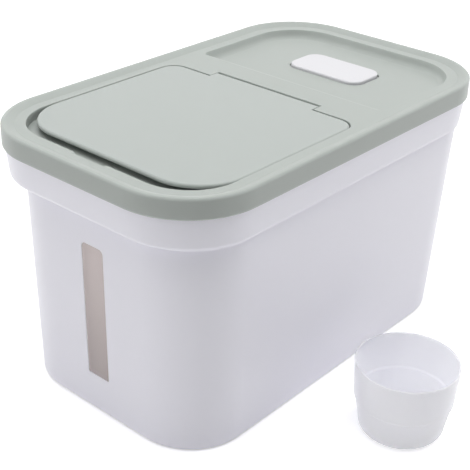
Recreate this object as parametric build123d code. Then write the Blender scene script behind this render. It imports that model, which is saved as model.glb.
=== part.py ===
from build123d import *
import math
import os

os.makedirs("parts", exist_ok=True)

# Lid outline and overall height. The front of the bin faces -Y and the floor is z = 0.
LENGTH = 380.0
WIDTH = 228.5
HEIGHT = 221.5
LID_CORNER_R = 61.7
LID_EDGE_R = 2.2

# Tub: a tapered body that steps out to a wider collar under the lid
WALL = 2.4
FLOOR_THICKNESS = 2.8
BASE_EDGE_R = 4.0
BASE_INSIDE_R = 7.0
BODY_DRAFT = 3.0
BODY_FRONT_R = 51.0
BODY_REAR_R_TOP = 44.0
BODY_REAR_R_BASE = 56.0
STEP_FRONT = 12.8
STEP_SIDE = 6.5
STEP_REAR = 3.0
COLLAR_HEIGHT = 30.0
COLLAR_INSET = 1.85
COLLAR_DRAFT = 2.55
SHOULDER_HEIGHT = 5.0
SHOULDER_OUT_R = 4.5
SHOULDER_IN_R = 3.0

# Rim of the tub, which the lid's seal closes on
SKIRT_HEIGHT = 15.6
SKIRT_WALL = 2.2
SKIRT_LEDGE_GAP = 0.4
RIM_SIDE_CLEARANCE = 0.4
RIM_WALL = 2.4
RIM_TOP_DROP = 8.5

# Sight window in the front wall
WINDOW_WIDTH = 22.4
WINDOW_BOTTOM = 34.5
WINDOW_TOP = 150.4
WINDOW_TOP_R = 4.0
WINDOW_FOOT_R = 1.2
WINDOW_LIP = 0.8
WINDOW_LIP_SINK = 0.15
WINDOW_FLANGE = 4.5
WINDOW_FLANGE_THICKNESS = 1.5
WINDOW_FIT = 0.1

# Lid frame: a sloping outer band, a flat inner band, a well for the hatch and a rear tray
PLATE = 2.4
BAND_EDGE = 3.6
BAND_WIDTH = 10.0
BAND_DROP = 2.56
BAND_CREST_R = 2.5
PLATE_UNDER_DROP = 5.4
LOCATING_RIB = 1.6
LOCATING_RIB_GAP = 0.5
LOCATING_RIB_DEPTH = 7.6
WELL_DEPTH = 7.5
WELL_FRONT_R = 42.8
FRONT_BAND = 19.2
SIDE_BAND = 17.75

# Thumb scallop: a shallow round-bottomed cut in the middle of the frame's front band
SCALLOP_WIDTH = 34.0
SCALLOP_REACH = 2.4
SCALLOP_DEPTH = 5.0
SCALLOP_LEAN = 12.0

# Mouth that the flour is scooped through, with an upstand for the hatch seal
MOUTH_SIDE_MARGIN = 19.9
MOUTH_FRONT_MARGIN = 15.8
MOUTH_REAR_MARGIN = 30.3
MOUTH_CORNER_R = 30.0
UPSTAND_WALL = 2.0

# Hatch, with a groove for the fingers in front of it
HATCH_FRONT_R = 41.0
HATCH_REAR_R = 14.0
HATCH_REAR_MARGIN = 7.3
HATCH_THICKNESS = 2.7
HATCH_EDGE_R = 1.8
HATCH_SIDE_GAP = 0.6
HATCH_REAR_GAP = 1.1
GROOVE_WIDTH = 11.0
TONGUE_HALF_WIDTH = 53.1
TONGUE_END_GAP = 0.9
PLUG_GAP = 1.0
PLUG_WALL = 1.6
PLUG_DEPTH = 4.0
HATCH_RIB = 1.4
HATCH_RIB_DEPTH = 2.2
HATCH_RIB_ROWS = 3

# Hinge: a barrel along the hatch's tongue, with a stub pin at each end
BARREL_R = 3.5
BARREL_REAR_GAP = 0.8
HINGE_Y = 18.3
PIN_R = 2.0
PIN_LENGTH = 5.6
PIN_RUNNING_FIT = 0.06
PIN_END_GAP = 0.6
CHEEK_WIDTH = 8.0
CHEEK_WALL = 3.0

# Seals
SEAL_FIT = 0.1
HATCH_SEAL_WIDTH = 4.6
HATCH_SEAL_HEIGHT = 2.0
HATCH_SEAL_EDGE_R = 0.4
SEAL_KEEPER_WALL = 1.2
SEAL_KEEPER_DEPTH = 1.2
LID_SEAL_EDGE_R = 0.6

# Rear tray of the lid frame, entered by a short ramp behind the hinge
TRAY_SIDE_BAND = 18.85
REAR_BAND = 18.0
TRAY_CORNER_R = 45.0
TRAY_FRONT_CORNER_R = 9.0
TRAY_DEPTH = 7.0
TRAY_WALL_DRAFT = 3.4
TRAY_FLOOR_R = 5.5
RAMP_GAP = 28.0
RAMP_LENGTH = 10.5
RAMP_TOP_SLOPE = 0.12
RAMP_FOOT_SLOPE = 0.05

# Desiccant cap and basket in the tray
CAP_LENGTH = 74.4
CAP_DEPTH = 40.9
CAP_CORNER_R = 11.7
CAP_REAR_MARGIN = 39.8
CAP_PROUD = 2.4
CAP_WALL = 1.6
CAP_EDGE_R = 1.2
CAP_END_GAP = 1.5
CAP_SIDE_GAP = 0.4
CAP_POCKET_DEPTH = 3.4
CAP_PLUG_DEPTH = 3.0
CAP_PLUG_GAP = 0.3
BASKET_FLANGE_THICKNESS = 1.2
BASKET_FLANGE_GAP = 0.25
BASKET_HOLE_GAP = 0.4
BASKET_WALL = 1.4
BASKET_DEPTH = 16.0
BASKET_LEDGE = 5.0
BASKET_SLOT_WIDTH = 3.0
BASKET_SLOT_LENGTH = 22.0
BASKET_SLOT_PITCH = 7.0
BASKET_CORNER_MARGIN = 8.0

# Ribs under the tray
TRAY_RIB = 1.6
TRAY_RIB_DEPTH = 3.0
TRAY_RIB_INSET = 16.0

# Measuring cup that stands beside the bin
CUP_STANDOFF = 27.5
CUP_Y = -21.7
CUP_HEIGHT = 61.2
CUP_RIM_R = 40.25
CUP_STEP_HEIGHT = 28.9
CUP_STEP_UPPER_R = 38.1
CUP_STEP_LOWER_R = 36.8
CUP_BASE_R = 33.6
CUP_BASE_EDGE_R = 8.0
CUP_WALL = 1.6
CUP_FOOT_RING_R = 24.0
CUP_FOOT_RECESS = 0.8
CUP_LIP_R = 0.7

# Levels that follow from the sizes above
SKIRT_Z = HEIGHT - SKIRT_HEIGHT
COLLAR_TOP_Z = SKIRT_Z - SKIRT_LEDGE_GAP
SHOULDER_Z = SKIRT_Z - COLLAR_HEIGHT
RIM_TOP_Z = HEIGHT - RIM_TOP_DROP
RIM_INSET = SKIRT_WALL + RIM_SIDE_CLEARANCE
FLAT_Z = HEIGHT - BAND_DROP
PLATE_UNDER_Z = HEIGHT - PLATE_UNDER_DROP
WELL_Z = FLAT_Z - WELL_DEPTH
HATCH_UNDER_Z = FLAT_Z - HATCH_THICKNESS
UPSTAND_Z = HATCH_UNDER_Z - HATCH_SEAL_HEIGHT
HINGE_Z = FLAT_Z - BARREL_R
TRAY_Z = FLAT_Z - TRAY_DEPTH
POCKET_Z = TRAY_Z - CAP_POCKET_DEPTH
CAP_TOP_Z = TRAY_Z + CAP_PROUD
CAP_SEAT_Z = POCKET_Z + BASKET_FLANGE_THICKNESS
LOCATING_RIB_INSET = RIM_INSET + RIM_WALL + LOCATING_RIB_GAP
LOCATING_RIB_Z = PLATE_UNDER_Z - LOCATING_RIB_DEPTH
COLLAR_FOOT_INSET = COLLAR_INSET + COLLAR_DRAFT
CAP_HALF_LENGTH = CAP_LENGTH / 2
CAP_HALF_DEPTH = CAP_DEPTH / 2

# Places in plan that follow from the sizes above
WELL_FRONT = -LENGTH / 2 + FRONT_BAND
HATCH_FRONT = WELL_FRONT + GROOVE_WIDTH
HATCH_HALF_WIDTH = WIDTH / 2 - SIDE_BAND - HATCH_SIDE_GAP
HATCH_REAR = HINGE_Y - HATCH_REAR_MARGIN
MOUTH_HALF_WIDTH = HATCH_HALF_WIDTH - MOUTH_SIDE_MARGIN
MOUTH_FRONT = HATCH_FRONT + MOUTH_FRONT_MARGIN
MOUTH_REAR = HINGE_Y - MOUTH_REAR_MARGIN
RAMP_START = HINGE_Y + RAMP_GAP
RAMP_END = RAMP_START + RAMP_LENGTH
TRAY_HALF_WIDTH = WIDTH / 2 - TRAY_SIDE_BAND
TRAY_REAR = LENGTH / 2 - REAR_BAND
CAP_Y = TRAY_REAR - CAP_REAR_MARGIN - CAP_HALF_DEPTH
CUP_X = WIDTH / 2 + CUP_STANDOFF + CUP_RIM_R

# Overshoot of a cutting solid past the face that it cuts
CUT = 1.0


def outline(half_width, front, rear, front_r, rear_r, z=0.0):
    """Face of a rounded rectangle at height z, with its own front and rear corner radii."""
    corners = [(-half_width, front), (half_width, front), (half_width, rear), (-half_width, rear)]
    with BuildSketch(Plane.XY.offset(z)) as sketch:
        with BuildLine():
            Polyline(*corners, close=True)
        make_face()
        fillet(sketch.vertices().group_by(Axis.Y)[0], front_r)
        fillet(sketch.vertices().group_by(Axis.Y)[-1], rear_r)
    return sketch.sketch


def lid_outline(inset, z=0.0):
    """The lid's outline drawn in by inset, at height z."""
    end = LENGTH / 2 - inset
    radius = LID_CORNER_R - inset
    return outline(WIDTH / 2 - inset, -end, end, radius, radius, z)


def body_outline(z, inset):
    """Outline of the tapered body at height z, drawn in by inset from its outer face."""
    taper = BODY_DRAFT * (1 - z / SHOULDER_Z)
    half_width = WIDTH / 2 - COLLAR_FOOT_INSET - STEP_SIDE - taper - inset
    front = -LENGTH / 2 + COLLAR_FOOT_INSET + STEP_FRONT + taper + inset
    rear = LENGTH / 2 - COLLAR_FOOT_INSET - STEP_REAR - taper - inset
    rear_r = BODY_REAR_R_TOP + (BODY_REAR_R_BASE - BODY_REAR_R_TOP) * (1 - z / SHOULDER_Z)
    return outline(half_width, front, rear, BODY_FRONT_R - inset, rear_r - inset, z)


def collar_outline(z, inset):
    """Outline of the collar at height z, drawn in by inset from its outer face."""
    above_foot = (z - SHOULDER_Z - SHOULDER_HEIGHT) / (COLLAR_TOP_Z - SHOULDER_Z - SHOULDER_HEIGHT)
    return lid_outline(COLLAR_INSET + COLLAR_DRAFT * (1 - above_foot) + inset, z)


def box_between(low, high):
    """Axis-aligned box from its lowest to its highest corner."""
    size = [high[i] - low[i] for i in range(3)]
    centre = [(high[i] + low[i]) / 2 for i in range(3)]
    return Pos(*centre) * Box(*size)


def prism(sketch, z_low, z_high):
    """Upright prism of a sketch drawn at z = 0."""
    return Pos(0, 0, z_low) * extrude(sketch, z_high - z_low)


def ring(outer, inner, z_low, z_high):
    """Upright ring between two sketches drawn at z = 0."""
    return prism(outer, z_low, z_high) - prism(inner, z_low - CUT, z_high + CUT)


def edges_at(solid, z):
    """Edges that lie level at height z."""
    return solid.edges().filter_by_position(Axis.Z, z - 0.001, z + 0.001)


def rounded_shoulder(form, foot_z, foot_r, top_z, top_r):
    """Rounds the two level edge loops of the shoulder between body and collar."""
    form = fillet(edges_at(form, foot_z), foot_r)
    return fillet(edges_at(form, top_z), top_r)


def make_bin_body():
    """White tub, open at the top, with a slot for the sight window."""
    foot_z = SHOULDER_Z
    head_z = SHOULDER_Z + SHOULDER_HEIGHT
    outer = loft(
        [body_outline(0, 0), body_outline(foot_z, 0), collar_outline(head_z, 0), collar_outline(COLLAR_TOP_Z, 0)],
        ruled=True,
    )
    outer = rounded_shoulder(outer, foot_z, SHOULDER_IN_R, head_z, SHOULDER_OUT_R)
    outer = fillet(edges_at(outer, 0), BASE_EDGE_R)

    # The inner shoulder is raised so that the sloping front shoulder keeps the wall's thickness
    slope = math.atan2(SHOULDER_HEIGHT, STEP_FRONT)
    rise = WALL * (1 - math.sin(slope)) / math.cos(slope)
    inner_top_z = COLLAR_TOP_Z - WALL
    inner = loft(
        [
            body_outline(FLOOR_THICKNESS, WALL),
            body_outline(foot_z + rise, WALL),
            collar_outline(head_z + rise, WALL),
            collar_outline(inner_top_z, WALL),
        ],
        ruled=True,
    )
    inner = rounded_shoulder(inner, foot_z + rise, SHOULDER_IN_R + WALL, head_z + rise, SHOULDER_OUT_R - WALL)
    inner = fillet(edges_at(inner, FLOOR_THICKNESS), BASE_INSIDE_R)
    throat = loft(
        [
            collar_outline(inner_top_z, WALL),
            lid_outline(RIM_INSET + RIM_WALL, COLLAR_TOP_Z),
            lid_outline(RIM_INSET + RIM_WALL, RIM_TOP_Z + CUT),
        ],
        ruled=True,
    )
    rim = prism(lid_outline(RIM_INSET), COLLAR_TOP_Z - WALL, RIM_TOP_Z)
    slot = extrude(window_plane() * window_shape(0), CUT)
    slot += extrude(window_plane() * window_shape(0), -WALL - CUT)
    return outer + rim - inner - throat - slot


def window_plane():
    """Plane on the outside of the front wall, at the middle of the window, facing out."""
    middle = (WINDOW_BOTTOM + WINDOW_TOP) / 2
    lean = math.atan2(BODY_DRAFT, SHOULDER_Z)
    front = -LENGTH / 2 + COLLAR_FOOT_INSET + STEP_FRONT + BODY_DRAFT * (1 - middle / SHOULDER_Z)
    return Plane(origin=(0, front, middle), x_dir=(1, 0, 0), z_dir=(0, -math.cos(lean), -math.sin(lean)))


def window_shape(margin):
    """Outline of the window slot, grown by margin."""
    half_height = (WINDOW_TOP - WINDOW_BOTTOM) / 2 + margin
    half_width = WINDOW_WIDTH / 2 + margin
    return outline(half_width, -half_height, half_height, WINDOW_FOOT_R + margin, WINDOW_TOP_R + margin)


def make_sight_window():
    """Smoky clear strip: a pane behind the wall, with a raised lip that lines the slot."""
    inside = window_plane().offset(-WALL)
    lip_height = WALL - WINDOW_LIP_SINK
    lip = extrude(inside * window_shape(-WINDOW_FIT), lip_height)
    lip -= extrude(inside * window_shape(-WINDOW_FIT - WINDOW_LIP), lip_height + CUT)
    return lip + extrude(inside * window_shape(WINDOW_FLANGE), -WINDOW_FLANGE_THICKNESS)


def well_sketch():
    """Outline of the well that the hatch lies in, with the hinge bay behind it."""
    half_width = HATCH_HALF_WIDTH + HATCH_SIDE_GAP
    rear = HATCH_REAR + HATCH_REAR_GAP
    main = outline(half_width, WELL_FRONT, rear, WELL_FRONT_R, HATCH_REAR_R + HATCH_SIDE_GAP)
    bay_half = TONGUE_HALF_WIDTH + TONGUE_END_GAP
    bay_rear = HINGE_Y + BARREL_R + BARREL_REAR_GAP
    bay_depth = bay_rear - HATCH_REAR + WELL_DEPTH
    bay = Pos(0, bay_rear - bay_depth / 2) * Rectangle(2 * bay_half, bay_depth)
    return main + bay


def scallop_void(margin=0.0):
    """Space of the thumb scallop: a leaning round-bottomed cut into the front band, grown by margin."""
    radius = (SCALLOP_WIDTH**2 / 4 + SCALLOP_DEPTH**2) / (2 * SCALLOP_DEPTH)
    back = WELL_FRONT - SCALLOP_REACH - margin
    depth = 2 * (SCALLOP_REACH + margin)
    roller = Cylinder(radius + margin, depth, align=(Align.CENTER, Align.CENTER, Align.MIN))
    roller = Pos(0, back, FLAT_Z + radius - SCALLOP_DEPTH) * Rot(-90, 0, 0) * roller
    lean = Pos(0, back, FLAT_Z) * Rot(SCALLOP_LEAN, 0, 0) * Pos(0, LENGTH / 2, 0) * Box(WIDTH, LENGTH, LENGTH)
    return roller & lean


def mouth_sketch(margin):
    """Outline of the mouth, grown by margin."""
    return outline(
        MOUTH_HALF_WIDTH + margin,
        MOUTH_FRONT - margin,
        MOUTH_REAR + margin,
        MOUTH_CORNER_R + margin,
        MOUTH_CORNER_R + margin,
    )


def below_ramp(drop):
    """Solid under the ramp's S-curve and under the flat in front of it, lowered by drop."""
    top = FLAT_Z - drop
    foot = TRAY_Z - drop
    bottom = foot - 2 * TRAY_DEPTH
    lead = RAMP_START - TRAY_DEPTH
    with BuildSketch(Plane.YZ) as side:
        with BuildLine():
            Spline(
                (RAMP_START, top),
                (RAMP_END, foot),
                tangents=[(1, -RAMP_TOP_SLOPE), (1, -RAMP_FOOT_SLOPE)],
            )
            Polyline(
                (RAMP_END, foot),
                (RAMP_END, bottom),
                (lead, bottom),
                (lead, HEIGHT + TRAY_DEPTH * RAMP_TOP_SLOPE),
                (RAMP_START, top),
            )
        make_face()
    return extrude(side.sketch, WIDTH / 2, both=True)


def tray_void():
    """The space of the rear tray: drafted walls, rounded foot, ramp at the front."""
    start = RAMP_START - CUT
    top_z = HEIGHT + CUT
    spread = TRAY_WALL_DRAFT * (top_z - TRAY_Z) / TRAY_DEPTH
    floor_half = TRAY_HALF_WIDTH - TRAY_WALL_DRAFT
    floor_rear = TRAY_REAR - TRAY_WALL_DRAFT
    floor_r = TRAY_CORNER_R - TRAY_WALL_DRAFT
    corner = TRAY_FRONT_CORNER_R
    form = loft(
        [
            outline(floor_half, start, floor_rear, corner, floor_r, TRAY_Z),
            outline(floor_half + spread, start, floor_rear + spread, corner, floor_r + spread, top_z),
        ],
        ruled=True,
    )
    form = fillet(edges_at(form, TRAY_Z), TRAY_FLOOR_R)
    return form - below_ramp(0)


def cap_outline(margin):
    """Outline of the desiccant cap, grown by margin."""
    return outline(
        CAP_HALF_LENGTH + margin,
        CAP_Y - CAP_HALF_DEPTH - margin,
        CAP_Y + CAP_HALF_DEPTH + margin,
        CAP_CORNER_R + margin,
        CAP_CORNER_R + margin,
    )


def pocket_outline(margin):
    """Outline of the pocket that the cap and the basket's flange lie in, grown by margin."""
    return outline(
        CAP_HALF_LENGTH + CAP_END_GAP + margin,
        CAP_Y - CAP_HALF_DEPTH - CAP_SIDE_GAP - margin,
        CAP_Y + CAP_HALF_DEPTH + CAP_SIDE_GAP + margin,
        CAP_CORNER_R + CAP_SIDE_GAP + margin,
        CAP_CORNER_R + CAP_SIDE_GAP + margin,
    )


def hinge_rod(radius, inner_x, outer_x):
    """Pair of rods on the hinge axis, one each side, between two distances from the middle."""
    rods = Part()
    for side in (-1, 1):
        middle = side * (inner_x + outer_x) / 2
        rods += Pos(middle, HINGE_Y, HINGE_Z) * Rot(0, 90, 0) * Cylinder(radius, outer_x - inner_x)
    return rods


def hinge_cheeks():
    """Blocks beside the hinge bay that carry the stub pins."""
    cheeks = Part()
    inner_x = TONGUE_HALF_WIDTH + TONGUE_END_GAP
    for side in (-1, 1):
        ends = sorted((side * inner_x, side * (inner_x + CHEEK_WIDTH)))
        cheeks += box_between(
            (ends[0], HATCH_REAR + HATCH_REAR_GAP, HINGE_Z - PIN_R - CHEEK_WALL),
            (ends[1], HINGE_Y + PIN_R + CHEEK_WALL, PLATE_UNDER_Z),
        )
    return cheeks


def tray_ribs():
    """Stiffening ribs under the tray, either side of the desiccant pocket."""
    ribs = Part()
    under_z = TRAY_Z - PLATE
    inner_x = CAP_HALF_LENGTH + CAP_END_GAP
    outer_x = TRAY_HALF_WIDTH - TRAY_WALL_DRAFT
    inner_y = CAP_Y + CAP_HALF_DEPTH + CAP_SIDE_GAP
    for side in (-1, 1):
        ends = sorted((side * inner_x, side * outer_x))
        for offset in (-1, 1):
            y = CAP_Y + offset * (CAP_HALF_DEPTH - TRAY_RIB_INSET / 2)
            ribs += box_between(
                (ends[0], y - TRAY_RIB / 2, under_z - TRAY_RIB_DEPTH),
                (ends[1], y + TRAY_RIB / 2, under_z),
            )
        x = side * (CAP_HALF_LENGTH - TRAY_RIB_INSET)
        ribs += box_between(
            (x - TRAY_RIB / 2, inner_y, under_z - TRAY_RIB_DEPTH),
            (x + TRAY_RIB / 2, TRAY_REAR, under_z),
        )
    return ribs


def make_lid_frame():
    """Sage lid: skirt and band round the hatch well and the rear tray."""
    frame = prism(lid_outline(0), SKIRT_Z, HEIGHT)
    frame = fillet(edges_at(frame, HEIGHT), LID_EDGE_R)
    dish = loft(
        [lid_outline(BAND_WIDTH, FLAT_Z), lid_outline(BAND_EDGE, HEIGHT), lid_outline(BAND_EDGE, HEIGHT + CUT)],
        ruled=True,
    )
    frame -= dish
    crest = frame.edges().filter_by_position(Axis.Z, HEIGHT - 0.001, HEIGHT + 0.001)
    inner_crest = [edge for edge in crest if abs(edge.center().X) < WIDTH / 2 - LID_EDGE_R - 0.1]
    inner_crest = [edge for edge in inner_crest if abs(edge.center().Y) < LENGTH / 2 - LID_EDGE_R - 0.1]
    frame = fillet(inner_crest, BAND_CREST_R)
    frame -= prism(lid_outline(SKIRT_WALL), SKIRT_Z - CUT, PLATE_UNDER_Z)

    # Locating rib inside the tub's rim
    frame += ring(
        lid_outline(LOCATING_RIB_INSET),
        lid_outline(LOCATING_RIB_INSET + LOCATING_RIB),
        LOCATING_RIB_Z,
        PLATE_UNDER_Z + CUT,
    )

    # Tray shell, ribs and the shell of the desiccant pocket
    tray_block = outline(
        TRAY_HALF_WIDTH + PLATE,
        RAMP_START - TRAY_DEPTH,
        TRAY_REAR + PLATE,
        TRAY_FLOOR_R,
        TRAY_CORNER_R + PLATE,
    )
    frame += prism(tray_block, TRAY_Z - PLATE, PLATE_UNDER_Z) - below_ramp(PLATE)
    frame += tray_ribs()
    frame += prism(pocket_outline(PLATE), POCKET_Z - PLATE, TRAY_Z - CUT)

    # Well shell with the hinge cheeks
    well = well_sketch()
    frame += prism(offset(well, PLATE), WELL_Z - PLATE, PLATE_UNDER_Z)
    frame += scallop_void(PLATE) & prism(lid_outline(SKIRT_WALL), WELL_Z - PLATE, PLATE_UNDER_Z)
    frame += hinge_cheeks()

    # Spaces: the tray, the pocket, the well, the hinge bores and the mouth with its upstand
    frame -= tray_void()
    frame -= prism(pocket_outline(0), POCKET_Z, HEIGHT + CUT)
    frame -= prism(cap_outline(-BASKET_LEDGE), POCKET_Z - PLATE - CUT, POCKET_Z + CUT)
    frame -= prism(well, WELL_Z, HEIGHT + CUT) + scallop_void()
    bore_depth = TONGUE_HALF_WIDTH + PIN_LENGTH + PIN_END_GAP
    frame -= hinge_rod(PIN_R + PIN_RUNNING_FIT, TONGUE_HALF_WIDTH, bore_depth)
    frame += prism(mouth_sketch(UPSTAND_WALL), WELL_Z - CUT, UPSTAND_Z)
    frame -= prism(mouth_sketch(0), WELL_Z - PLATE - CUT, UPSTAND_Z + CUT)
    return frame


def make_hatch():
    """Sage hatch: flat plate, plug ring and ribs below, hinge barrel and stub pins behind."""
    plan = outline(HATCH_HALF_WIDTH, HATCH_FRONT, HATCH_REAR, HATCH_FRONT_R, HATCH_REAR_R)
    tongue_depth = HINGE_Y - HATCH_REAR + HATCH_REAR_R
    plan += Pos(0, HINGE_Y - tongue_depth / 2) * Rectangle(2 * TONGUE_HALF_WIDTH, tongue_depth)
    hatch = prism(plan, HATCH_UNDER_Z, FLAT_Z)
    soft_edges = edges_at(hatch, FLAT_Z).filter_by(lambda edge: edge.center().Y < HATCH_REAR - CUT)
    hatch = fillet(soft_edges, HATCH_EDGE_R)
    hatch += hinge_rod(BARREL_R, 0, TONGUE_HALF_WIDTH)
    hatch += hinge_rod(PIN_R, TONGUE_HALF_WIDTH - CUT, TONGUE_HALF_WIDTH + PIN_LENGTH)

    # Plug ring that drops into the mouth, and the keeper round the seal
    hatch += ring(
        mouth_sketch(-PLUG_GAP),
        mouth_sketch(-PLUG_GAP - PLUG_WALL),
        HATCH_UNDER_Z - PLUG_DEPTH,
        HATCH_UNDER_Z + CUT,
    )
    keeper = -PLUG_GAP + 2 * SEAL_FIT + HATCH_SEAL_WIDTH
    hatch += ring(
        mouth_sketch(keeper + SEAL_KEEPER_WALL),
        mouth_sketch(keeper),
        HATCH_UNDER_Z - SEAL_KEEPER_DEPTH,
        HATCH_UNDER_Z + CUT,
    )

    # Ribs across and along the plug ring
    inner_half = MOUTH_HALF_WIDTH - PLUG_GAP - PLUG_WALL / 2
    inner_front = MOUTH_FRONT + PLUG_GAP + PLUG_WALL / 2
    inner_rear = MOUTH_REAR - PLUG_GAP - PLUG_WALL / 2
    for i in range(HATCH_RIB_ROWS):
        y = inner_front + (inner_rear - inner_front) * (i + 1) / (HATCH_RIB_ROWS + 1)
        hatch += box_between(
            (-inner_half, y - HATCH_RIB / 2, HATCH_UNDER_Z - HATCH_RIB_DEPTH),
            (inner_half, y + HATCH_RIB / 2, HATCH_UNDER_Z + CUT),
        )
    hatch += box_between(
        (-HATCH_RIB / 2, inner_front, HATCH_UNDER_Z - HATCH_RIB_DEPTH),
        (HATCH_RIB / 2, inner_rear, HATCH_UNDER_Z + CUT),
    )
    return hatch


def make_hatch_seal():
    """Silicone ring round the plug ring, which closes on the mouth's upstand."""
    inner = -PLUG_GAP + SEAL_FIT
    seal = ring(
        mouth_sketch(inner + HATCH_SEAL_WIDTH),
        mouth_sketch(inner),
        UPSTAND_Z,
        HATCH_UNDER_Z,
    )
    return fillet(edges_at(seal, UPSTAND_Z), HATCH_SEAL_EDGE_R)


def make_lid_seal():
    """Silicone ring in the channel between the skirt and the locating rib."""
    seal = ring(
        lid_outline(SKIRT_WALL + SEAL_FIT),
        lid_outline(LOCATING_RIB_INSET - SEAL_FIT),
        RIM_TOP_Z,
        PLATE_UNDER_Z,
    )
    return fillet(edges_at(seal, RIM_TOP_Z), LID_SEAL_EDGE_R)


def basket_outline(margin):
    """Outline of the desiccant basket's outer wall, grown by margin."""
    return cap_outline(margin - BASKET_LEDGE - BASKET_HOLE_GAP)


def make_desiccant_basket():
    """White slotted basket that hangs by its flange on the pocket's ledge."""
    floor_z = CAP_SEAT_Z - BASKET_DEPTH
    basket = prism(basket_outline(0), floor_z, CAP_SEAT_Z)
    basket += prism(pocket_outline(-BASKET_FLANGE_GAP), POCKET_Z, CAP_SEAT_Z)
    basket -= prism(basket_outline(-BASKET_WALL), floor_z + BASKET_WALL, CAP_SEAT_Z + CUT)
    half_length = CAP_HALF_LENGTH - BASKET_LEDGE - BASKET_CORNER_MARGIN
    count = int(half_length // BASKET_SLOT_PITCH)
    for i in range(-count, count + 1):
        slot = Rectangle(BASKET_SLOT_WIDTH, BASKET_SLOT_LENGTH)
        slot = fillet(slot.vertices(), BASKET_SLOT_WIDTH / 2 - SEAL_FIT)
        slot = Pos(i * BASKET_SLOT_PITCH, CAP_Y) * slot
        basket -= prism(slot, floor_z - CUT, floor_z + BASKET_WALL + CUT)
    return basket


def make_desiccant_cap():
    """White lift-out cap: a shallow shell with a plug ring inside the basket's mouth."""
    cap = prism(cap_outline(0), CAP_SEAT_Z, CAP_TOP_Z)
    cap = fillet(edges_at(cap, CAP_TOP_Z), CAP_EDGE_R)
    cap -= prism(cap_outline(-CAP_WALL), CAP_SEAT_Z - CUT, CAP_TOP_Z - CAP_WALL)
    plug = -BASKET_WALL - CAP_PLUG_GAP
    cap += ring(
        basket_outline(plug),
        basket_outline(plug - CAP_WALL),
        CAP_SEAT_Z - CAP_PLUG_DEPTH,
        CAP_TOP_Z - CAP_WALL / 2,
    )
    return cap


def make_measuring_cup():
    """Translucent stepped cup, turned as one closed wall about its own axis."""
    step_in = CUP_STEP_UPPER_R - CUP_STEP_LOWER_R
    base_flat = CUP_BASE_R - CUP_BASE_EDGE_R
    inner_edge_r = CUP_BASE_EDGE_R - CUP_WALL
    inner_step_z = CUP_STEP_HEIGHT + CUP_WALL
    with BuildSketch(Plane.XZ) as section:
        with BuildLine():
            Polyline(
                (0, CUP_FOOT_RECESS),
                (CUP_FOOT_RING_R, CUP_FOOT_RECESS),
                (CUP_FOOT_RING_R + CUP_FOOT_RECESS, 0),
                (base_flat, 0),
            )
            RadiusArc((base_flat, 0), (CUP_BASE_R, CUP_BASE_EDGE_R), -CUP_BASE_EDGE_R)
            Polyline(
                (CUP_BASE_R, CUP_BASE_EDGE_R),
                (CUP_STEP_LOWER_R, CUP_STEP_HEIGHT - step_in / 2),
                (CUP_STEP_UPPER_R, CUP_STEP_HEIGHT + step_in / 2),
                (CUP_RIM_R, CUP_HEIGHT),
                (CUP_RIM_R - CUP_WALL, CUP_HEIGHT),
                (CUP_STEP_UPPER_R - CUP_WALL, inner_step_z + step_in / 2),
                (CUP_STEP_LOWER_R - CUP_WALL, inner_step_z - step_in / 2),
                (CUP_BASE_R - CUP_WALL, CUP_BASE_EDGE_R),
            )
            RadiusArc(
                (CUP_BASE_R - CUP_WALL, CUP_BASE_EDGE_R),
                (base_flat, CUP_BASE_EDGE_R - inner_edge_r),
                inner_edge_r,
            )
            Polyline(
                (base_flat, CUP_BASE_EDGE_R - inner_edge_r),
                (CUP_FOOT_RING_R, CUP_FOOT_RECESS + CUP_WALL),
                (0, CUP_FOOT_RECESS + CUP_WALL),
                (0, CUP_FOOT_RECESS),
            )
        make_face()
    cup = revolve(section.sketch, Axis.Z)
    cup = fillet(edges_at(cup, CUP_HEIGHT), CUP_LIP_R)
    return Pos(CUP_X, CUP_Y, 0) * cup


pieces = {
    "bin_body": make_bin_body,
    "sight_window": make_sight_window,
    "lid_frame": make_lid_frame,
    "lid_seal": make_lid_seal,
    "hatch": make_hatch,
    "hatch_seal": make_hatch_seal,
    "desiccant_cap": make_desiccant_cap,
    "desiccant_basket": make_desiccant_basket,
    "measuring_cup": make_measuring_cup,
}
for name, make in pieces.items():
    solid = make()
    export_step(solid, f"parts/{name}.step")
    print(name, round(solid.volume / 1000, 2), "cm3", len(solid.solids()), "solid")
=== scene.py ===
"""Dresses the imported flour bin: plastics, seals, cup, studio light and camera."""

from __future__ import annotations

import logging
import math
from dataclasses import dataclass, replace
from enum import Enum
from typing import Sequence, Union

import bpy
import numpy as np
from mathutils import Matrix, Vector


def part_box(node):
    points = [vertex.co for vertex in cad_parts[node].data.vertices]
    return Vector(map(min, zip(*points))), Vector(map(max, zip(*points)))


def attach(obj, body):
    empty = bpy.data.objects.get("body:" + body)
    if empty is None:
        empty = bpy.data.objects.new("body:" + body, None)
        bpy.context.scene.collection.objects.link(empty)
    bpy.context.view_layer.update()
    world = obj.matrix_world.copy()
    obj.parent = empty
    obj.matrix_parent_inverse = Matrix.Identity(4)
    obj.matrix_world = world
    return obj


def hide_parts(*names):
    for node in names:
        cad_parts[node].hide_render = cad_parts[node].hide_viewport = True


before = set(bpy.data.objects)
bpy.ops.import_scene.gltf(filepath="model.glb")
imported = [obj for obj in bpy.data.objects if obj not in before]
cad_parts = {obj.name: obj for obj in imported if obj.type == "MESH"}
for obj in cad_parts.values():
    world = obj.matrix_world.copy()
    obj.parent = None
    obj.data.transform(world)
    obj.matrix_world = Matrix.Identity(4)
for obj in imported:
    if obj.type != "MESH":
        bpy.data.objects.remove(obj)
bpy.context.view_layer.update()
LOG = logging.getLogger("flour_bin")
MM = 0.001
Point = tuple[float, float]
Triple = tuple[float, float, float]
Colour = Triple
Value = Union[float, "Signal"]
TripleValue = Union[Triple, "Signal"]
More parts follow.
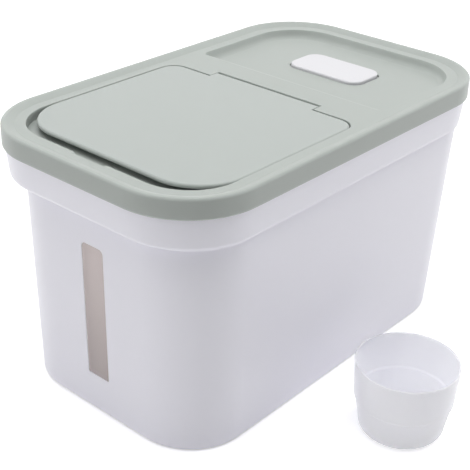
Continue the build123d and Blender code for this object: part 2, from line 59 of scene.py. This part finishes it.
ORIGIN: Triple = (0.0, 0.0, 0.0)
WHITE: Colour = (1.0, 1.0, 1.0)
BEVEL_SAMPLES = 6
MIX_SHARE, MIX_FIRST, MIX_SECOND, MIX_RESULT = 0, 6, 7, 2


class Signal:
    """One output socket of a shader graph, with arithmetic that adds Math nodes."""

    def __init__(self, graph: Graph, socket: bpy.types.NodeSocket) -> None:
        """Wraps a socket of the given graph"""
        self.graph = graph
        self.socket = socket

    def _math(self, operation: str, first: Value, second: Value) -> Signal:
        """Adds one Math node.

        Args:
            operation: the node's operation.
            first: number or signal of the first input.
            second: number or signal of the second input.

        Returns:
            The node's result.
        """
        return self.graph.node("ShaderNodeMath", {"operation": operation}, {0: first, 1: second})

    def __add__(self, other: Value) -> Signal:
        """self + other"""
        return self._math("ADD", self, other)

    def __radd__(self, other: Value) -> Signal:
        """other + self"""
        return self._math("ADD", other, self)

    def __sub__(self, other: Value) -> Signal:
        """self - other"""
        return self._math("SUBTRACT", self, other)

    def __rsub__(self, other: Value) -> Signal:
        """other - self"""
        return self._math("SUBTRACT", other, self)

    def __mul__(self, other: Value) -> Signal:
        """self * other"""
        return self._math("MULTIPLY", self, other)

    def __rmul__(self, other: Value) -> Signal:
        """other * self"""
        return self._math("MULTIPLY", other, self)

    def __gt__(self, other: Value) -> Signal:
        """1 where self is above other, and 0 elsewhere"""
        return self._math("GREATER_THAN", self, other)

    def __or__(self, other: Value) -> Signal:
        """The larger of self and other"""
        return self._math("MAXIMUM", self, other)


class Graph:
    """The node tree of one material or world, built from Python expressions."""

    def __init__(self, owner: Union[bpy.types.Material, bpy.types.World]) -> None:
        """Empties the owner's tree and keeps it.

        Args:
            owner: the material or world that gets the nodes.
        """
        owner.use_nodes = True
        self.tree = owner.node_tree
        self.tree.nodes.clear()

    def add(
        self,
        kind: str,
        settings: dict[str, object] | None = None,
        inputs: dict[Union[str, int], object] | None = None,
    ) -> bpy.types.Node:
        """Adds a node, sets it up and fills its sockets.

        Args:
            kind: Blender's name of the node type.
            settings: attributes set before the sockets.
            inputs: socket name or number to a value or a signal.

        Returns:
            The new node.
        """
        made = self.tree.nodes.new(kind)
        for name, value in (settings or {}).items():
            setattr(made, name, value)
        for name, value in (inputs or {}).items():
            socket = made.inputs[name]
            if isinstance(value, Signal):
                self.tree.links.new(value.socket, socket)
            else:
                socket.default_value = value
        return made

    def node(
        self,
        kind: str,
        settings: dict[str, object] | None = None,
        inputs: dict[Union[str, int], object] | None = None,
        output: Union[str, int] = 0,
    ) -> Signal:
        """Adds a node and picks one of its outputs.

        Args:
            kind: Blender's name of the node type.
            settings: attributes set before the sockets.
            inputs: socket name or number to a value or a signal.
            output: name or number of the output.

        Returns:
            The chosen output as a signal.
        """
        return Signal(self, self.add(kind, settings, inputs).outputs[output])

    def place(self) -> Signal:
        """Object coordinates of the shaded point, in metres"""
        return self.node("ShaderNodeTexCoord", output="Object")

    def axis(self, number: int) -> Signal:
        """One of the object coordinates: 0 for x, 1 for y, 2 for z"""
        return self.node("ShaderNodeSeparateXYZ", None, {0: self.place()}, number)

    def vector(
        self,
        operation: str,
        first: TripleValue,
        second: TripleValue = ORIGIN,
        output: Union[str, int] = 0,
    ) -> Signal:
        """Adds one Vector Math node.

        Args:
            operation: the node's operation.
            first: vector or signal of the first input.
            second: vector or signal of the second input, where the operation has one.
            output: name or number of the output.

        Returns:
            The node's result.
        """
        inputs = {0: first, 1: second}
        return self.node("ShaderNodeVectorMath", {"operation": operation}, inputs, output)

    def ramp(self, value: Signal, start: float, end: float, kind: str = "LINEAR") -> Signal:
        """Maps a range onto 0 to 1.

        Args:
            value: the signal.
            start: its value at 0.
            end: its value at 1.
            kind: interpolation between the two.

        Returns:
            The mapped signal, held at 0 and 1 outside the range.
        """
        inputs = {"Value": value, "From Min": start, "From Max": end}
        return self.node("ShaderNodeMapRange", {"interpolation_type": kind}, inputs)

    def noise(self, scale: float, detail: float = 2.0) -> Signal:
        """Grey noise in object space.

        Args:
            scale: waves per metre.
            detail: octaves.

        Returns:
            The noise, about 0 to 1 and 0.5 on average.
        """
        inputs = {"Vector": self.place(), "Scale": scale, "Detail": detail}
        return self.node("ShaderNodeTexNoise", None, inputs, "Fac")

    def mix(self, first: TripleValue, second: TripleValue, share: Value) -> Signal:
        """Blends two colours.

        Args:
            first: colour or signal at share 0.
            second: colour or signal at share 1.
            share: number or signal.

        Returns:
            The blended colour.
        """
        ends = (end if isinstance(end, Signal) else (*end, 1.0) for end in (first, second))
        inputs = dict(zip((MIX_SHARE, MIX_FIRST, MIX_SECOND), (share, *ends)))
        return self.node("ShaderNodeMix", {"data_type": "RGBA"}, inputs, MIX_RESULT)

    def output(self, kind: str, shader: Signal) -> None:
        """Adds an output node of the given kind and links the shader to it"""
        self.add(kind, None, {"Surface": shader})


class Grain(Enum):
    """Surface left by the mould: waves per metre, depth in metres, swing of the roughness."""

    POLISHED = (900.0, 0.002 * MM, 0.03)
    SATIN = (2600.0, 0.006 * MM, 0.06)
    SPARK = (3800.0, 0.012 * MM, 0.08)
    SOFT = (1500.0, 0.010 * MM, 0.08)


@dataclass(frozen=True)
class Plastic:
    """One moulded plastic, with its pigment drift, mould grain and softened edges."""

    name: str
    tint: Colour
    roughness: float
    grain: Grain = Grain.SATIN
    drift: float = 0.02
    drift_scale: float = 9.0
    scatter: float = 0.0
    scatter_depth: float = 3.0 * MM
    scatter_tint: Colour = WHITE
    alpha: float = 1.0
    coat: float = 0.0
    coat_roughness: float = 0.08
    ior: float = 1.49
    edge_radius: float = 0.5 * MM
    coarse_share: float = 0.7
    finer: float = 6.0
    grain_octaves: float = 3.0

    def pigment(self, graph: Graph, share: Signal) -> Signal:
        """Colour of the plastic.

        Args:
            graph: the material's node tree.
            share: the slow drift, 0 to 1.

        Returns:
            The tint, a little darker at share 0 and a little lighter at share 1.
        """
        dark = tuple(channel * (1.0 - self.drift) for channel in self.tint)
        light = tuple(min(1.0, channel * (1.0 + self.drift)) for channel in self.tint)
        return graph.mix(dark, light, share)

    def make(self) -> bpy.types.Material:
        """Builds the material.

        Returns:
            A Principled material: two octaves of slow drift in the pigment, the second one finer
            by the factor finer, fine grain in the roughness and in a bump, and edges rounded by
            the Bevel node.
        """
        material = bpy.data.materials.new(self.name)
        graph = Graph(material)
        waves, depth, swing = self.grain.value
        coarse = graph.noise(self.drift_scale) * self.coarse_share
        drift = coarse + graph.noise(self.drift_scale * self.finer) * (1.0 - self.coarse_share)
        fine = graph.noise(waves, self.grain_octaves)
        rounding = {"Radius": self.edge_radius}
        edge = graph.node("ShaderNodeBevel", {"samples": BEVEL_SAMPLES}, rounding)
        bump = {"Height": fine, "Strength": 1.0, "Distance": depth, "Normal": edge}
        inputs = {
            "Base Color": self.pigment(graph, drift),
            "Roughness": (fine - 0.5) * swing + self.roughness,
            "Normal": graph.node("ShaderNodeBump", None, bump),
            "IOR": self.ior,
            "Alpha": self.alpha,
            "Coat Weight": self.coat,
            "Coat Roughness": self.coat_roughness,
        }
        if self.scatter:
            inputs["Subsurface Weight"] = self.scatter
            inputs["Subsurface Radius"] = self.scatter_tint
            inputs["Subsurface Scale"] = self.scatter_depth
        shader = graph.node("ShaderNodeBsdfPrincipled", None, inputs)
        graph.output("ShaderNodeOutputMaterial", shader)
        return material


@dataclass(frozen=True)
class WindowPlastic(Plastic):
    """Smoky clear plastic, with painted shade that makes it darker towards the foot of the window,
    where the bin's darker inside shows through.
    """

    low: float = 40.0 * MM
    high: float = 150.0 * MM
    # painted shade: how much darker the window is drawn at its foot
    painted_foot_shade: float = 0.74

    def pigment(self, graph: Graph, share: Signal) -> Signal:
        """Colour of the window.

        Args:
            graph: the material's node tree.
            share: the slow drift, 0 to 1.

        Returns:
            The tint at height high, falling evenly as painted shade to the foot's shade factor
            times the tint at height low, with the drift laid over it.
        """
        rise = graph.ramp(graph.axis(2), self.low, self.high)
        painted_foot_tint = tuple(channel * self.painted_foot_shade for channel in self.tint)
        return graph.mix(painted_foot_tint, self.tint, rise * (1.0 - self.drift) + share * self.drift)


@dataclass(frozen=True)
class HollowPlastic(Plastic):
    """Pale plastic of an open vessel, whose inner faces get a painted tone that stands in for the
    light and shade inside the vessel.
    """

    # painted light and shade: the tone drawn on the vessel's inner faces, not a tint of the plastic
    painted_inner_tone: Colour = (0.925, 0.92, 0.93)
    middle: Triple = ORIGIN

    def pigment(self, graph: Graph, share: Signal) -> Signal:
        """Colour of the vessel.

        Args:
            graph: the material's node tree.
            share: the slow drift, 0 to 1.

        Returns:
            The usual pigment where the level part of (place - middle) . normal is above a
            millimetre, on faces that look away from the vessel's axis, and elsewhere the painted
            inner tone, which stands in for the light and shade inside the vessel.
        """
        away = graph.vector("SUBTRACT", graph.place(), self.middle)
        level = graph.vector("MULTIPLY", away, (1.0, 1.0, 0.0))
        normal = graph.node("ShaderNodeTexCoord", output="Normal")
        facing = graph.vector("DOT_PRODUCT", level, normal, "Value")
        return graph.mix(self.painted_inner_tone, super().pigment(graph, share), facing > MM)


TUB_POLYPROPYLENE = HollowPlastic(
    "tub_polypropylene",
    tint=(0.874, 0.862, 0.985),
    roughness=0.36,
    drift=0.012,
    scatter=0.6,
    scatter_depth=5.0 * MM,
)
LID_SAGE = Plastic(
    "lid_sage",
    tint=(0.392, 0.421, 0.40),
    roughness=0.42,
    scatter=0.6,
    scatter_depth=5.0 * MM,
)
HATCH_SAGE = Plastic(
    "hatch_sage",
    tint=(0.404, 0.434, 0.417),
    roughness=0.40,
    grain=Grain.SPARK,
    drift=0.018,
    scatter=0.6,
    scatter_depth=5.0 * MM,
)
# smoky clear window, with painted shade towards its foot
SMOKY_CLEAR = WindowPlastic(
    "smoky_clear",
    tint=(0.93, 0.815, 0.80),
    roughness=0.12,
    grain=Grain.POLISHED,
    drift=0.03,
    alpha=0.56,
    coat=0.1,
    edge_radius=0.3 * MM,
)
CAP_WHITE = Plastic(
    "cap_white",
    tint=(0.645, 0.64, 0.665),
    roughness=0.28,
    grain=Grain.POLISHED,
    drift=0.01,
    coat=0.15,
)
BASKET_WHITE = Plastic("basket_white", tint=(0.82, 0.82, 0.84), roughness=0.5, drift=0.015)
SILICONE = Plastic(
    "silicone",
    tint=(0.80, 0.80, 0.80),
    roughness=0.55,
    grain=Grain.SOFT,
    scatter=0.6,
    scatter_depth=2.0 * MM,
)
CUP_FROSTED = HollowPlastic(
    "cup_frosted",
    tint=(0.95, 0.95, 1.0),
    # painted shade: the cup's inner faces are drawn darker than its outer faces
    painted_inner_tone=(0.83, 0.83, 0.90),
    roughness=0.42,
    grain=Grain.SPARK,
    drift=0.01,
    scatter=1.0,
    scatter_depth=5.0 * MM,
    alpha=0.50,
    edge_radius=0.4 * MM,
)


def wrap_quads(rows: int, columns: int, close_rows: bool) -> np.ndarray:
    """Quads of a grid whose columns wrap round.

    Args:
        rows: points along the profile.
        columns: points round the path.
        close_rows: whether the last row joins the first.

    Returns:
        One line of four indices a quad: (i, j), (i, j+1), (i+1, j+1), (i+1, j), with both
        counts taken modulo the grid, and vertex number i * columns + j.
    """
    starts = np.arange(rows if close_rows else rows - 1)
    i, j = np.meshgrid(starts, np.arange(columns), indexing="ij")
    this, below = i * columns, (i + 1) % rows * columns
    beside = (j + 1) % columns
    return np.stack((this + j, this + beside, below + beside, below + j), -1).reshape(-1, 4)


def rounded_rectangle(
    low: np.ndarray, high: np.ndarray, radii: np.ndarray, steps: int
) -> tuple[np.ndarray, np.ndarray]:
    """Outline of a rectangle with round corners.

    Args:
        low: its lower corner.
        high: its upper corner.
        radii: the four corner radii, anticlockwise from the upper corner.
        steps: points of each quarter turn.

    Returns:
        Points and outward normals: at each corner, centre + radius * (cos a, sin a) for a
        over a quarter turn, and straight runs between the corners.
    """
    starts = np.array([0.0, 0.5, 1.0, 1.5]) * math.pi
    angle = starts[:, None] + np.linspace(0.0, math.pi / 2, steps)
    normal = np.stack([np.cos(angle), np.sin(angle)], -1)
    side = np.array([[1, 1], [-1, 1], [-1, -1], [1, -1]])
    centre = (low + high) / 2 + side * ((high - low) / 2 - radii[:, None])
    points = centre[:, None] + normal * radii[:, None, None]
    return points.reshape(-1, 2), normal.reshape(-1, 2)


def mesh_piece(
    name: str, points: np.ndarray, faces: Sequence[Sequence[int]], crease: float
) -> bpy.types.Object:
    """Puts points and faces into a new object at the origin.

    Args:
        name: the piece's name.
        points: vertices in metres, one line each.
        faces: vertex numbers of each face.
        crease: angle in degrees past which an edge stays sharp.

    Returns:
        The object, linked to the scene and smooth between its creases.
    """
    mesh = bpy.data.meshes.new(name)
    mesh.from_pydata(points.tolist(), [], faces)
    mesh.polygons.foreach_set("use_smooth", np.ones(len(mesh.polygons), bool))
    mesh.set_sharp_from_angle(angle=math.radians(crease))
    mesh.validate()
    made = bpy.data.objects.new(name, mesh)
    bpy.context.scene.collection.objects.link(made)
    return made


def direction(azimuth: float, elevation: float) -> Vector:
    """Unit vector towards a place round the object.

    Args:
        azimuth: degrees from the front, towards +X.
        elevation: degrees above the level.

    Returns:
        (sin a cos e, -cos a cos e, sin e).
    """
    a, e = math.radians(azimuth), math.radians(elevation)
    return Vector((math.sin(a) * math.cos(e), -math.cos(a) * math.cos(e), math.sin(e)))


def dress(name: str, finish: Plastic) -> None:
    """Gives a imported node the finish's material.

    Args:
        name: the node's name.
        finish: the plastic that it is made of.
    """
    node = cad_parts[name]
    node.data.materials.clear()
    node.data.materials.append(finish.make())
    LOG.info("%s: packed shape, finish %s", name, finish.name)


@dataclass
class Tub:
    """White tub."""

    finish: Plastic = TUB_POLYPROPYLENE

    def build(self) -> None:
        """Dresses the tub"""
        dress("bin_body", self.finish)


@dataclass
class SightWindow:
    """Clear plug in the slot of the front wall, with the flange that holds it from inside.

    The wall's inner face lies at y = face + lean * z, and the depth is counted from it outwards.
    """

    finish: Plastic = SMOKY_CLEAR
    face: float = -167.4 * MM
    lean: float = -0.01706
    plug_depth: float = 2.25 * MM
    flange: float = 4.6 * MM
    flange_thickness: float = 1.5 * MM
    edge: float = 0.3 * MM
    top_radius: float = 3.9 * MM
    foot_radius: float = 1.1 * MM
    arc_steps: int = 10
    crease: float = 30.0

    def outline(self, margin: float) -> np.ndarray:
        """Rounded rectangle in the plane of the wall.

        Args:
            margin: how far it lies outside the plug's edge.

        Returns:
            Points (x, z), with the flange's box drawn in by flange - margin.
        """
        low, high = (np.array([corner.x, corner.z]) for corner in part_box("sight_window"))
        inset = self.flange - margin
        radii = np.repeat([self.top_radius, self.foot_radius], 2) + margin
        return rounded_rectangle(low + inset, high - inset, radii, self.arc_steps)[0]

    def build(self) -> None:
        """Stacks rings from the flange's back to the plug's front.

        A point (x, z) of a ring at depth d lies at (x, face + lean * z - d, z).
        """
        rings = (
            (self.flange, -self.flange_thickness),
            (self.flange, 0.0),
            (0.0, 0.0),
            (0.0, self.plug_depth - self.edge),
            (-self.edge, self.plug_depth),
        )
        layers = []
        for margin, depth in rings:
            x, z = self.outline(margin).T
            layers.append(np.stack([x, self.face + self.lean * z - depth, z], -1))
        grid = np.stack(layers)
        count = grid.shape[1]
        faces = wrap_quads(len(rings), count, False).tolist()
        first = np.arange(count)
        faces += [first[::-1].tolist(), (first + (len(rings) - 1) * count).tolist()]
        made = mesh_piece("clear_window", grid.reshape(-1, 3), faces, self.crease)
        made.data.materials.append(self.finish.make())
        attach(made, "bin")
        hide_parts("sight_window")
        LOG.info("%s: %d points", made.name, len(made.data.vertices))


@dataclass
class Lid:
    """Lid frame with the tray and the desiccant holder."""

    frame_finish: Plastic = LID_SAGE
    cap_finish: Plastic = CAP_WHITE
    basket_finish: Plastic = BASKET_WHITE

    def build(self) -> None:
        """Dresses the frame, the cap and the basket"""
        dress("lid_frame", self.frame_finish)
        dress("desiccant_cap", self.cap_finish)
        dress("desiccant_basket", self.basket_finish)


@dataclass
class Hatch:
    """Flip-up hatch."""

    finish: Plastic = HATCH_SAGE

    def build(self) -> None:
        """Dresses the hatch"""
        dress("hatch", self.finish)


@dataclass
class LipSeal:
    """Silicone ring with two beads below, carried round a rounded rectangle."""

    node: str
    body: str
    width: float
    corner_radius: float
    finish: Plastic = SILICONE
    bead: float = 0.5 * MM
    arc_steps: int = 24
    bead_steps: int = 33
    crease: float = 40.0

    def path(self) -> tuple[np.ndarray, np.ndarray]:
        """Outer edge of the ring in plan, as points and outward normals"""
        low, high = (np.array(corner[:2]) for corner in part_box(self.node))
        return rounded_rectangle(low, high, np.full(4, self.corner_radius), self.arc_steps)

    def profile(self) -> tuple[np.ndarray, np.ndarray]:
        """Section of the ring.

        Returns:
            Distances in from the outer edge, and heights: a flat top, and below it two beads,
            low + bead * (1 - |sin(2 pi t)|) for t from 0 to 1 across the width.
        """
        low, high = (corner[2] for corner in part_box(self.node))
        t = np.linspace(0.0, 1.0, self.bead_steps)
        below = low + self.bead * (1 - np.abs(np.sin(2 * math.pi * t)))
        distance = np.concatenate([t, [1.0, 0.0]]) * self.width
        return distance, np.concatenate([below, [high, high]])

    def build(self) -> None:
        """Sweeps the section round the path.

        A point lies at path - distance * normal in plan, at the section's height.
        """
        points, normal = self.path()
        distance, height = self.profile()
        plan = points[None] - distance[:, None, None] * normal[None]
        level = np.broadcast_to(height[:, None, None], (*plan.shape[:2], 1))
        grid = np.concatenate([plan, level], -1)
        faces = wrap_quads(grid.shape[0], grid.shape[1], True)[:, ::-1]
        made = mesh_piece(f"{self.node}_lips", grid.reshape(-1, 3), faces.tolist(), self.crease)
        made.data.materials.append(self.finish.make())
        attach(made, self.body)
        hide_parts(self.node)
        LOG.info("%s: %d points", made.name, len(made.data.vertices))


@dataclass
class MeasuringCup:
    """Frosted cup turned about its own axis: rounded base, outward step, round lip."""

    finish: HollowPlastic = CUP_FROSTED
    wall: float = 1.6 * MM
    step_height: float = 28.9 * MM
    step_upper: float = 38.1 * MM
    step_lower: float = 36.8 * MM
    base_radius: float = 33.6 * MM
    base_edge: float = 8.0 * MM
    foot_ring: float = 24.0 * MM
    foot_recess: float = 0.8 * MM
    turns: int = 160
    arc_steps: int = 14
    line_steps: int = 5
    step_points: int = 9
    crease: float = 50.0

    def arc(self, centre: Point, radius: float, start: float, end: float) -> np.ndarray:
        """Points of an arc in the (radius, height) plane.

        Args:
            centre: middle of the arc.
            radius: its radius.
            start: first angle in degrees, from the outward level.
            end: last angle.

        Returns:
            centre + radius * (cos a, sin a), with a going evenly from start to end.
        """
        angle = np.radians(np.linspace(start, end, self.arc_steps))
        return np.array(centre) + radius * np.stack([np.cos(angle), np.sin(angle)], -1)

    def line(self, start: Point, end: Point) -> np.ndarray:
        """Inner points of a straight run, start + t * (end - start), in the section's plane"""
        t = np.linspace(0.0, 1.0, self.line_steps + 2)[1:-1, None]
        return np.array(start) + t * (np.array(end) - np.array(start))

    def step(self, shift: float, rise: float) -> np.ndarray:
        """S-shaped step of the wall, bottom to top.

        Args:
            shift: how far the line lies inside the outer face.
            rise: how far it lies above the outer step.

        Returns:
            radius = middle + half * (3u - u^3) / 2 over u from -1 to 1, while the height goes
            evenly through twice the step's width.
        """
        u = np.linspace(-1.0, 1.0, self.step_points)
        half = (self.step_upper - self.step_lower) / 2
        middle = (self.step_upper + self.step_lower) / 2 - shift
        radius = middle + half * (3 * u - u**3) / 2
        return np.stack([radius, self.step_height + rise + 2 * half * u], -1)

    def section(self, rim: float, height: float) -> np.ndarray:
        """Section from the pole below the base up the outside and down to the inner pole.

        Args:
            rim: outer radius at the lip.
            height: height of the cup.

        Returns:
            (radius, height) points, with the two poles left out.
        """
        bend = (self.base_radius - self.base_edge, self.base_edge)
        lip = self.wall / 2
        foot = (self.foot_ring, self.foot_recess)
        inner = (self.foot_ring, self.foot_recess + self.wall)
        parts = [
            self.line((0.0, foot[1]), foot),
            np.array([foot, (self.foot_ring + self.foot_recess, 0.0)]),
            self.arc(bend, self.base_edge, -90, 0),
            self.step(0.0, 0.0),
            self.line((self.step_upper, self.step_height), (rim, height - lip)),
            self.arc((rim - lip, height - lip), lip, 0, 180),
            self.step(self.wall, self.wall)[::-1],
            self.arc(bend, self.base_edge - self.wall, 0, -90),
            np.array([inner]),
            self.line(inner, (0.0, inner[1])),
        ]
        return np.concatenate(parts)

    def build(self) -> None:
        """Turns the section about the cup's axis.

        A point of the section at angle a lies at (x0 + r cos a, y0 + r sin a, z), and one
        vertex on the axis closes each end with a fan. The finish tells inside from outside by
        the same axis.
        """
        low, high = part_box("measuring_cup")
        axis = ((low.x + high.x) / 2, (low.y + high.y) / 2)
        section = self.section((high.x - low.x) / 2, high.z - low.z)
        angle = np.linspace(0.0, 2 * math.pi, self.turns, endpoint=False)
        radius, height = section[:, :1], section[:, 1:]
        x = axis[0] + radius * np.cos(angle)
        y = axis[1] + radius * np.sin(angle)
        grid = np.stack([x, y, np.broadcast_to(height, x.shape)], -1).reshape(-1, 3)
        poles = np.array([[*axis, section[0, 1]], [*axis, section[-1, 1]]])
        first = np.arange(self.turns)
        second = (first + 1) % self.turns
        last = len(grid) - self.turns
        below = np.full(self.turns, len(grid))
        fans = [(below, second, first), (below + 1, last + first, last + second)]
        faces = wrap_quads(len(section), self.turns, False).tolist()
        faces += [fan for corners in fans for fan in np.stack(corners, -1).tolist()]
        made = mesh_piece("frosted_cup", np.concatenate([grid, poles]), faces, self.crease)
        made.data.materials.append(replace(self.finish, middle=(*axis, 0.0)).make())
        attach(made, "cup")
        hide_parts("measuring_cup")
        LOG.info("%s: %d points", made.name, len(made.data.vertices))


@dataclass
class Softbox:
    """Square area light that looks at the middle of the bin."""

    name: str
    azimuth: float
    elevation: float
    power: float
    distance: float = 2.0
    size: float = 1.2

    def build(self, target: Vector) -> None:
        """Hangs the lamp.

        Args:
            target: the point that it faces.
        """
        lamp = bpy.data.lights.new(self.name, "AREA")
        lamp.shape = "SQUARE"
        lamp.size = self.size
        lamp.energy = self.power
        made = bpy.data.objects.new(self.name, lamp)
        away = direction(self.azimuth, self.elevation)
        made.location = target + away * self.distance
        made.rotation_euler = (-away).to_track_quat("-Z", "Y").to_euler()
        made.visible_camera = False
        made.visible_glossy = False
        bpy.context.scene.collection.objects.link(made)


@dataclass
class Studio:
    """White surroundings: a wide floor, an even world and soft lamps round the object."""

    floor_half: float = 6.0
    floor_albedo: float = 0.88
    floor_lift: float = 0.35
    plain_from: float = 0.75
    plain_to: float = 1.6
    world_level: float = 0.14
    target_height: float = 120.0 * MM
    lamps: tuple[Softbox, ...] = (
        Softbox("lamp_top", azimuth=40.0, elevation=88.0, distance=1.9, size=2.4, power=47.0),
        Softbox("lamp_front_left", azimuth=-35.0, elevation=22.0, power=8.2),
        Softbox("lamp_rear_right", azimuth=150.0, elevation=25.0, power=12.3),
        Softbox("lamp_left", azimuth=-100.0, elevation=30.0, power=3.5),
    )

    def seen_share(self, graph: Graph) -> Signal:
        """Tells the rays that look from those that light.

        Args:
            graph: the node tree of the world or the floor.

        Returns:
            1 for a ray from the camera, a gloss or a clear surface, and 0 for diffuse light.
        """
        ray = "ShaderNodeLightPath"
        camera = graph.node(ray, output="Is Camera Ray")
        glossy = graph.node(ray, output="Is Glossy Ray")
        return camera | glossy | graph.node(ray, output="Is Transmission Ray")

    def world(self) -> None:
        """Lights the scene evenly, and shows white behind it"""
        world = bpy.data.worlds.new("studio")
        graph = Graph(world)
        strength = self.seen_share(graph) * (1.0 - self.world_level) + self.world_level
        inputs = {"Color": (*WHITE, 1.0), "Strength": strength}
        graph.output("ShaderNodeOutputWorld", graph.node("ShaderNodeBackground", None, inputs))
        bpy.context.scene.world = world

    def floor(self) -> None:
        """Lays the floor under the bin.

        Where it is looked at it gets a little lift, which grows to plain white between the
        distances plain_from and plain_to from the middle.
        """
        corners = np.array([[-1.0, -1.0, 0.0], [1.0, -1.0, 0.0], [1.0, 1.0, 0.0], [-1.0, 1.0, 0.0]])
        made = mesh_piece("floor", corners * self.floor_half, [[0, 1, 2, 3]], 0.0)
        material = bpy.data.materials.new("studio_floor")
        graph = Graph(material)
        grey = (self.floor_albedo,) * 3
        diffuse = graph.node("ShaderNodeBsdfDiffuse", None, {"Color": (*grey, 1.0)})
        distance = graph.vector("LENGTH", graph.place(), output="Value")
        away = graph.ramp(distance, self.plain_from, self.plain_to, "SMOOTHSTEP")
        inputs = {
            "Color": graph.mix((self.floor_lift,) * 3, WHITE, away),
            "Strength": self.seen_share(graph),
        }
        glow = graph.node("ShaderNodeEmission", None, inputs)
        both = graph.node("ShaderNodeAddShader", None, {0: diffuse, 1: glow})
        graph.output("ShaderNodeOutputMaterial", both)
        made.data.materials.append(material)

    def build(self) -> None:
        """Builds the world, the floor and the lamps"""
        self.world()
        self.floor()
        target = Vector((0.0, 0.0, self.target_height))
        for lamp in self.lamps:
            lamp.build(target)
        bpy.context.scene.view_settings.view_transform = "Standard"


@dataclass
class Viewpoint:
    """Camera at the photograph's angle, for a square picture."""

    azimuth: float = 40.374
    elevation: float = 28.405
    roll: float = 1.800
    distance: float = 905.52 * MM
    shift_right: float = -9.42 * MM
    shift_up: float = -16.03 * MM
    aim_height: float = 110.76 * MM
    lens: float = 82.217
    sensor: float = 36.0

    def build(self) -> None:
        """Sets up the camera.

        It stands at the aim point plus back * distance, plus the two shifts along its own
        right and up, which are the level right and its upright turned by the roll.
        """
        back = direction(self.azimuth, self.elevation)
        level = direction(self.azimuth + 90.0, 0.0)
        upright = back.cross(level)
        roll = math.radians(self.roll)
        right = level * math.cos(roll) + upright * math.sin(roll)
        up = upright * math.cos(roll) - level * math.sin(roll)
        aim = Vector((0.0, 0.0, self.aim_height))
        place = aim + back * self.distance + right * self.shift_right + up * self.shift_up
        data = bpy.data.cameras.new("photo_camera")
        data.lens = self.lens
        data.sensor_width = self.sensor
        camera = bpy.data.objects.new("photo_camera", data)
        turn = Matrix((right, up, back)).transposed()
        camera.matrix_world = Matrix.Translation(place) @ turn.to_4x4()
        bpy.context.scene.collection.objects.link(camera)
        bpy.context.scene.camera = camera


def main() -> None:
    """Builds every sub-assembly in order, then the studio and the camera"""
    logging.basicConfig(level=logging.INFO, format="%(name)s %(message)s")
    sub_assemblies = (
        Tub(),
        SightWindow(),
        Lid(),
        Hatch(),
        LipSeal("lid_seal", "lid", width=3.1 * MM, corner_radius=59.4 * MM),
        LipSeal("hatch_seal", "hatch", width=4.6 * MM, corner_radius=33.7 * MM),
        MeasuringCup(),
        Studio(),
        Viewpoint(),
    )
    for part in sub_assemblies:
        part.build()


if __name__ == "__main__":
    main()
